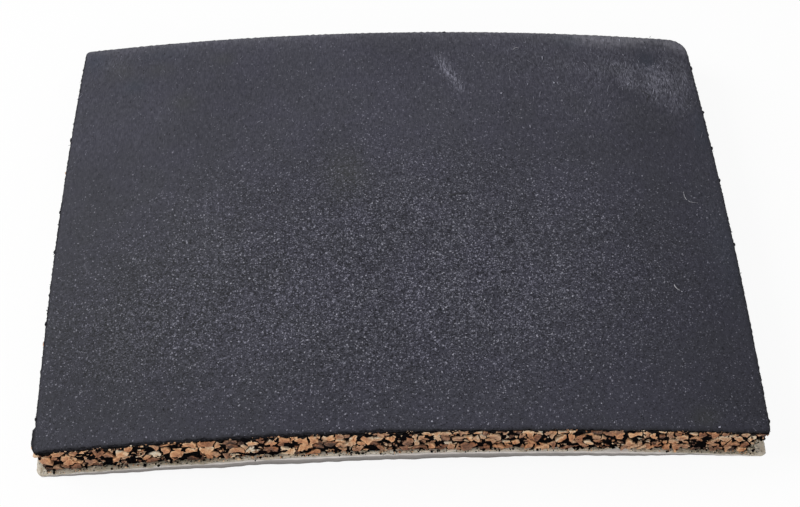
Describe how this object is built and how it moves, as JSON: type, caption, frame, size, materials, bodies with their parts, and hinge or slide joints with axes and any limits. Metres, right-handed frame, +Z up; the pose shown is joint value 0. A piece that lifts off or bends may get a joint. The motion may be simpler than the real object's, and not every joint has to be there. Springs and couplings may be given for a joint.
{
  "type": "sanding pad",
  "caption": "Thin rectangular hand sanding pad with a coated abrasive face on a cork and rubber core, and an adhesive back under a peel-off release liner.",
  "frame": {"origin": "centre of the pad's outline, on the table that it rests on", "axes": "+Z up out of the abrasive face, +X to the right along the longer side, -Y out of the raw cut front edge; the arch's axis lies along Y"},
  "size_m": [0.1305, 0.0968, 0.0121],
  "materials": {
    "abrasive_grit": "matte",
    "backing_cloth": "matte",
    "laminating_film": "satin",
    "cork_rubber_core": "matte",
    "cork_granules": "matte",
    "tape_adhesive": "satin",
    "tape_carrier": "matte",
    "release_liner": "satin"
  },
  "bodies": {
    "pad": {"abrasive_grit": "abrasive_grit", "backing_cloth": "backing_cloth", "laminating_film": "laminating_film", "cork_rubber_core": "cork_rubber_core", "cork_granules": "cork_granules", "tape_upper_adhesive": "tape_adhesive", "tape_carrier": "tape_carrier", "tape_lower_adhesive": "tape_adhesive"},
    "liner": {"release_liner": "release_liner"}
  },
  "joints": [
    {"name": "liner_peel", "type": "slide", "parent": "pad", "child": "liner", "axis": [0, 1, 0], "range_m": [0, 0.098]}
  ]
}
